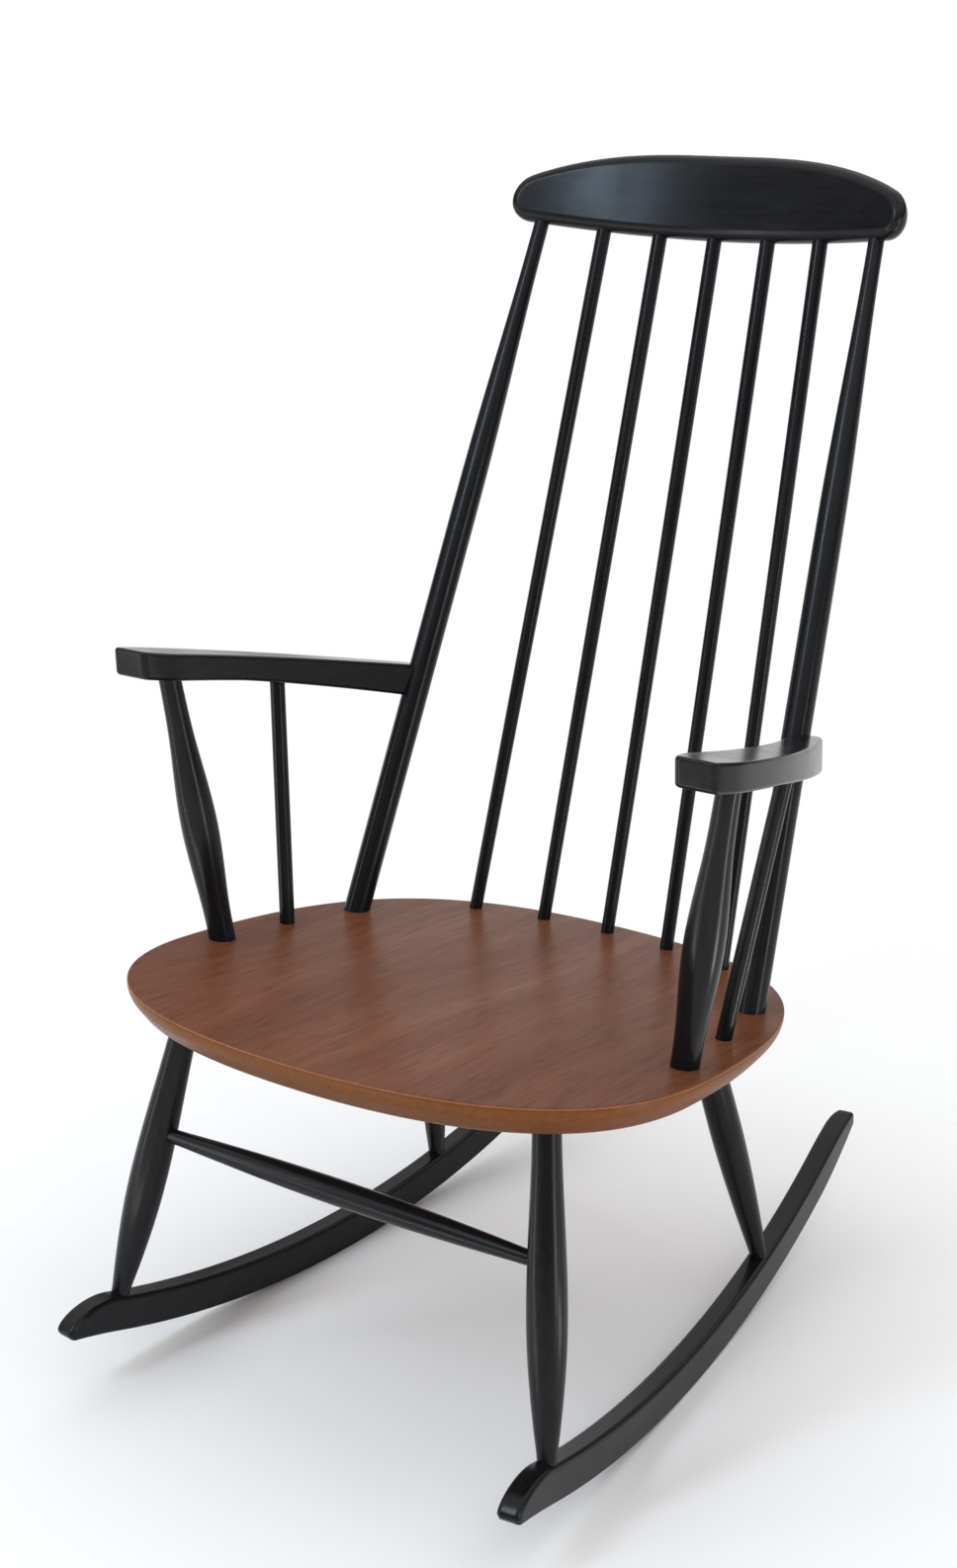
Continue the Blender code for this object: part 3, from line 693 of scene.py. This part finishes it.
# Crest rail: a boat-shaped board, sawn bowed round the sitter's back and leaning with the spindles.
# Its top sweeps down to rounded ends and every edge is rounded over. Black satin lacquer.
crest_middle = Vector((0.0, 0.3483, 0.9765))
crest_lean = math.radians(16.8)
crest_half = 0.2130
crest_thick = 0.024
crest_mid_height = 0.0805
crest_end_height = 0.037
crest_under_rise = 0.0052
crest_bow_radius = 0.64
crest_sweep_power = 2.8
crest_end_round = 0.0176
crest_edge_round = 0.0108
crest_cuts = 16


def plain_block(name):
    """A block two units across each way, to be cut and drawn out to a sawn shape."""
    bpy.ops.object.select_all(action="DESELECT")
    bpy.ops.mesh.primitive_cube_add(size=2.0)
    block = bpy.context.object
    block.name = name
    block.data.name = name
    return block


crest = plain_block("crest_rail_board")
cut_across(crest, [step / crest_cuts for step in range(2 - crest_cuts, crest_cuts - 1)])
for vert in crest.data.vertices:
    along, through, up = vert.co
    x = along * crest_half
    low = crest_under_rise * along * along
    tall = crest_end_height + (crest_mid_height - crest_end_height) * (1 - abs(along) ** crest_sweep_power)
    vert.co = (x, through * crest_thick / 2 - x * x / (2 * crest_bow_radius), low + tall * (up + 1) / 2)
round_over(
    crest,
    lambda edge: min(abs(v.co.x) for v in edge.verts) > crest_half - 2 * hair
    and abs(edge.verts[0].co.y - edge.verts[1].co.y) > crest_thick * 0.9,
    crest_end_round,
    segments=8,
)
round_over(crest, lambda edge: True, crest_edge_round, segments=7)
set_in_place(crest, crest_middle, Matrix.Rotation(-crest_lean, 3, "X"))
crest_paint = black_lacquer("black_lacquer_crest", (8.0, 160.0, 160.0))
fix_to_chair(crest, "crest_rail", crest_paint, crease=50)


# Arm supports: a vase-turned post under the front of each arm, with a thin plain rod behind it.
# Black satin lacquer. They lean outwards, glued into the seat below and the arm above.
support_foot = (0.2552, -0.1256, 0.3627)
support_head = (0.2968, -0.1308, 0.6169)
support_girth = (
    (0.0, 0.0126), (0.083, 0.0127), (0.167, 0.0136), (0.25, 0.0151), (0.333, 0.0165),
    (0.417, 0.0173), (0.5, 0.0170), (0.583, 0.0158), (0.667, 0.0141), (0.75, 0.0124),
    (0.833, 0.0113), (0.917, 0.0107), (1.0, 0.0104),
)
arm_rod_foot = (0.2447, -0.0428, 0.3525)
arm_rod_head = (0.2767, -0.0025, 0.5836)
arm_rod_girth = ((0.0, 0.0073), (0.5, 0.0074), (1.0, 0.0073))
support = turn_on_lathe("arm_support_turned_left", support_foot, support_head, support_girth)
support_right = other_side(support, "arm_support_turned_right")
arm_rod = turn_on_lathe(
    "arm_spindle_turned_left", arm_rod_foot, arm_rod_head, arm_rod_girth, faces=rod_faces
)
arm_rod_right = other_side(arm_rod, "arm_spindle_turned_right")
fix_to_chair(support, "arm_support_left", leg_paint)
fix_to_chair(support_right, "arm_support_right", leg_paint)
fix_to_chair(arm_rod, "arm_spindle_left", leg_paint)
fix_to_chair(arm_rod_right, "arm_spindle_right", leg_paint)


# Arms: sawn boards that fall to the back, broad and square-ended in front, sweeping in to wrap the post.
# The underside is arched, thinnest over the rod and deep at the post, and the edges are lightly rounded.
# Black satin lacquer. Each is glued onto its support and rod and housed round the outside of the post.
arm_middle_y = -0.0347
arm_front = -0.148
arm_rear = 0.187
arm_rear_skew = 0.018
arm_sweep_from = -0.115
arm_front_power = 1.5
arm_outer_side = 0.3185
arm_outer_curve = (-0.0031, -0.0211, -0.0657)
arm_inner_side = 0.2670
arm_inner_curve = (0.0105, 0.0060, -0.0721)
arm_top_front = 0.6555
arm_fall = 0.254
arm_front_depth = 0.0262
arm_waist_depth = 0.0245
arm_rear_depth = 0.0340
arm_waist_at = 0.35
arm_arch_power = 1.4
arm_upright_least = 0.015
arm_front_corner = 0.0050
arm_rear_corner = 0.0080
arm_edge_round = 0.0036
arm_cuts = 14


def arm_side(side, curve, y):
    """Where a long side of the arm runs: drawn in at the front end and swept in to the post behind."""
    front = max(arm_sweep_from - y, 0.0) / (arm_sweep_from - arm_front)
    back = max(y - arm_sweep_from, 0.0) / (arm_rear - arm_sweep_from)
    return side + curve[0] * front**arm_front_power + curve[1] * back + curve[2] * back**2


def arm_depth(y):
    """Depth of the arm from its top to the arched underside."""
    share = (y - arm_front) / (arm_rear - arm_front)
    if share < arm_waist_at:
        return arm_front_depth + (arm_waist_depth - arm_front_depth) * share / arm_waist_at
    arch = ((share - arm_waist_at) / (1 - arm_waist_at)) ** arm_arch_power
    return arm_waist_depth + (arm_rear_depth - arm_waist_depth) * arch


def arm_corner(edge):
    """Whether an edge stands upright at a corner of the arm."""
    return abs(edge.verts[0].co.z - edge.verts[1].co.z) > arm_upright_least


arm = plain_block("arm_board_left")
cut_across(arm, [step / arm_cuts for step in range(1 - arm_cuts, arm_cuts - 1)])
for vert in arm.data.vertices:
    along, across, up = vert.co
    y = arm_front + (arm_rear - arm_front) * (along + 1) / 2
    if along > 1 - hair:
        y -= arm_rear_skew * (1 + across) / 2
    inner = arm_side(arm_inner_side, arm_inner_curve, y)
    outer = arm_side(arm_outer_side, arm_outer_curve, y)
    top = arm_top_front - arm_fall * (y - arm_front)
    vert.co = (inner + (outer - inner) * (1 - across) / 2, y, top - arm_depth(y) * (1 - up) / 2)
rear_outer = arm_side(arm_outer_side, arm_outer_curve, arm_rear)
round_over(
    arm,
    lambda edge: arm_corner(edge) and max(v.co.y for v in edge.verts) < arm_front + 2 * hair,
    arm_front_corner,
    segments=6,
)
round_over(
    arm,
    lambda edge: arm_corner(edge)
    and min(v.co.y for v in edge.verts) > arm_rear - 2 * hair
    and edge.verts[0].co.x > rear_outer - 20 * hair,
    arm_rear_corner,
    segments=6,
)
round_over(arm, lambda edge: True, arm_edge_round, segments=4)
set_in_place(arm, Vector((0.0, arm_middle_y, 0.0)), Matrix.Identity(3))
arm_paint = black_lacquer("black_lacquer_arms", (150.0, 7.0, 150.0))
arm_right = other_side(arm, "arm_board_right")
fix_to_chair(arm, "arm_left", arm_paint)
fix_to_chair(arm_right, "arm_right", arm_paint)


# Studio: a plain white floor that runs out to white, window-like soft lamps and low strips beside the chair.
# The surround is pale overhead and at the horizon and dim between, so that black lacquer looks black.
# The camera stands where the photograph was taken from.
camera_place = (1.1853, -1.6935, 1.2414)
camera_yaw = math.radians(35.92)
camera_pitch = math.radians(19.03)
camera_roll = math.radians(-1.30)
floor_colour = (0.96, 0.96, 0.96, 1.0)
floor_size = 400.0
white = (1.0, 1.0, 1.0, 1.0)
warm = (1.0, 0.98, 0.95)
lamps = (
    ("window_high", (-0.8, -2.4, 2.65), (0.0, 0.1, 0.6), (0.5, 1.1), 25.0, (0.62, 0.80, 1.0)),
    ("window_left", (-2.0, -2.3, 0.85), (0.0, 0.0, 0.5), (0.30, 1.7), 10.0, (0.92, 0.96, 1.0)),
    ("window_right", (2.9, -0.5, 0.65), (0.0, -0.1, 0.4), (0.25, 1.3), 12.5, (1.0, 0.98, 0.94)),
    ("window_behind", (-1.5, 2.9, 0.95), (0.0, 0.0, 0.4), (1.5, 0.9), 3.0, (0.97, 0.985, 1.0)),
    ("floor_strip_left", (-1.0, -1.55, 0.015), (-0.9916, -1.5445, 1.015), (0.15, 2.4), 8.5, warm),
    ("floor_strip_right", (1.25, -0.05, 0.015), (1.24, -0.05, 1.015), (0.14, 0.9), 5.0, warm),
)
bpy.ops.object.select_all(action="DESELECT")
bpy.ops.mesh.primitive_plane_add(size=floor_size)
floor = bpy.context.object
floor.name = "studio_floor"
floor_white = bpy.data.materials.new("studio_floor_white")
floor_white.use_nodes = True
nodes = floor_white.node_tree.nodes
links = floor_white.node_tree.links
nodes.remove(nodes["Principled BSDF"])
matt = nodes.new("ShaderNodeBsdfDiffuse")
matt.inputs["Color"].default_value = floor_colour
glow = nodes.new("ShaderNodeEmission")
glow.inputs["Color"].default_value = white
glow.inputs["Strength"].default_value = 1.0
floor_place = nodes.new("ShaderNodeTexCoord")
reach = nodes.new("ShaderNodeVectorMath")
reach.operation = "LENGTH"
links.new(floor_place.outputs["Object"], reach.inputs[0])
fade = nodes.new("ShaderNodeMapRange")
fade.interpolation_type = "SMOOTHSTEP"
fade.inputs["From Min"].default_value = 0.30
fade.inputs["From Max"].default_value = 1.25
links.new(reach.outputs["Value"], fade.inputs["Value"])
path = nodes.new("ShaderNodeLightPath")
mirrored = nodes.new("ShaderNodeMath")
mirrored.operation = "MAXIMUM"
links.new(path.outputs["Is Glossy Ray"], mirrored.inputs[0])
links.new(path.outputs["Is Transmission Ray"], mirrored.inputs[1])
looked_at = nodes.new("ShaderNodeMath")
looked_at.operation = "MAXIMUM"
links.new(path.outputs["Is Camera Ray"], looked_at.inputs[0])
links.new(mirrored.outputs["Value"], looked_at.inputs[1])
seen = nodes.new("ShaderNodeMath")
seen.operation = "MULTIPLY"
links.new(fade.outputs["Result"], seen.inputs[0])
links.new(looked_at.outputs["Value"], seen.inputs[1])
floor_mix = nodes.new("ShaderNodeMixShader")
links.new(seen.outputs["Value"], floor_mix.inputs["Fac"])
links.new(matt.outputs["BSDF"], floor_mix.inputs[1])
links.new(glow.outputs["Emission"], floor_mix.inputs[2])
links.new(floor_mix.outputs["Shader"], nodes["Material Output"].inputs["Surface"])
floor.data.materials.append(floor_white)

world = bpy.data.worlds.new("studio_surround")
bpy.context.scene.world = world
world.use_nodes = True
nodes = world.node_tree.nodes
links = world.node_tree.links
surround = nodes["Background"]
surround.inputs["Color"].default_value = white
direction = nodes.new("ShaderNodeTexCoord")
rise = nodes.new("ShaderNodeSeparateXYZ")
links.new(direction.outputs["Generated"], rise.inputs["Vector"])
level = nodes.new("ShaderNodeMapRange")
level.interpolation_type = "SMOOTHSTEP"
level.inputs["From Min"].default_value = 0.15
level.inputs["From Max"].default_value = 0.75
level.inputs["To Min"].default_value = 0.05
level.inputs["To Max"].default_value = 1.20
links.new(rise.outputs["Z"], level.inputs["Value"])
horizon = nodes.new("ShaderNodeMapRange")
horizon.interpolation_type = "SMOOTHSTEP"
horizon.inputs["From Min"].default_value = 0.05
horizon.inputs["From Max"].default_value = 0.11
horizon.inputs["To Min"].default_value = 1.0
horizon.inputs["To Max"].default_value = 0.0
links.new(rise.outputs["Z"], horizon.inputs["Value"])
brighter = nodes.new("ShaderNodeMath")
brighter.operation = "MAXIMUM"
links.new(level.outputs["Result"], brighter.inputs[0])
links.new(horizon.outputs["Result"], brighter.inputs[1])
links.new(brighter.outputs["Value"], surround.inputs["Strength"])

for name, place, aim, (width, height), watts, colour in lamps:
    lamp = bpy.data.lights.new(name, "AREA")
    lamp.shape = "RECTANGLE"
    lamp.size = width
    lamp.size_y = height
    lamp.energy = watts
    lamp.color = colour
    stand = bpy.data.objects.new(name, lamp)
    bpy.context.scene.collection.objects.link(stand)
    stand.location = place
    stand.rotation_mode = "QUATERNION"
    stand.rotation_quaternion = (Vector(aim) - Vector(place)).to_track_quat("-Z", "Y")
    stand.visible_camera = False

view = bpy.data.cameras.new("photograph_view")
view.lens = 55.18
view.sensor_width = 36.0
view.sensor_fit = "AUTO"
camera = bpy.data.objects.new("photograph_view", view)
bpy.context.scene.collection.objects.link(camera)
ahead = Vector((
    -math.sin(camera_yaw) * math.cos(camera_pitch),
    math.cos(camera_yaw) * math.cos(camera_pitch),
    -math.sin(camera_pitch),
))
level_right = Vector((math.cos(camera_yaw), math.sin(camera_yaw), 0.0))
level_up = level_right.cross(ahead)
right = level_right * math.cos(camera_roll) + level_up * math.sin(camera_roll)
up = level_up * math.cos(camera_roll) - level_right * math.sin(camera_roll)
facing = Matrix((right, up, -ahead)).transposed()
camera.matrix_world = Matrix.Translation(camera_place) @ facing.to_4x4()
bpy.context.scene.camera = camera
bpy.context.scene.view_settings.view_transform = "Standard"
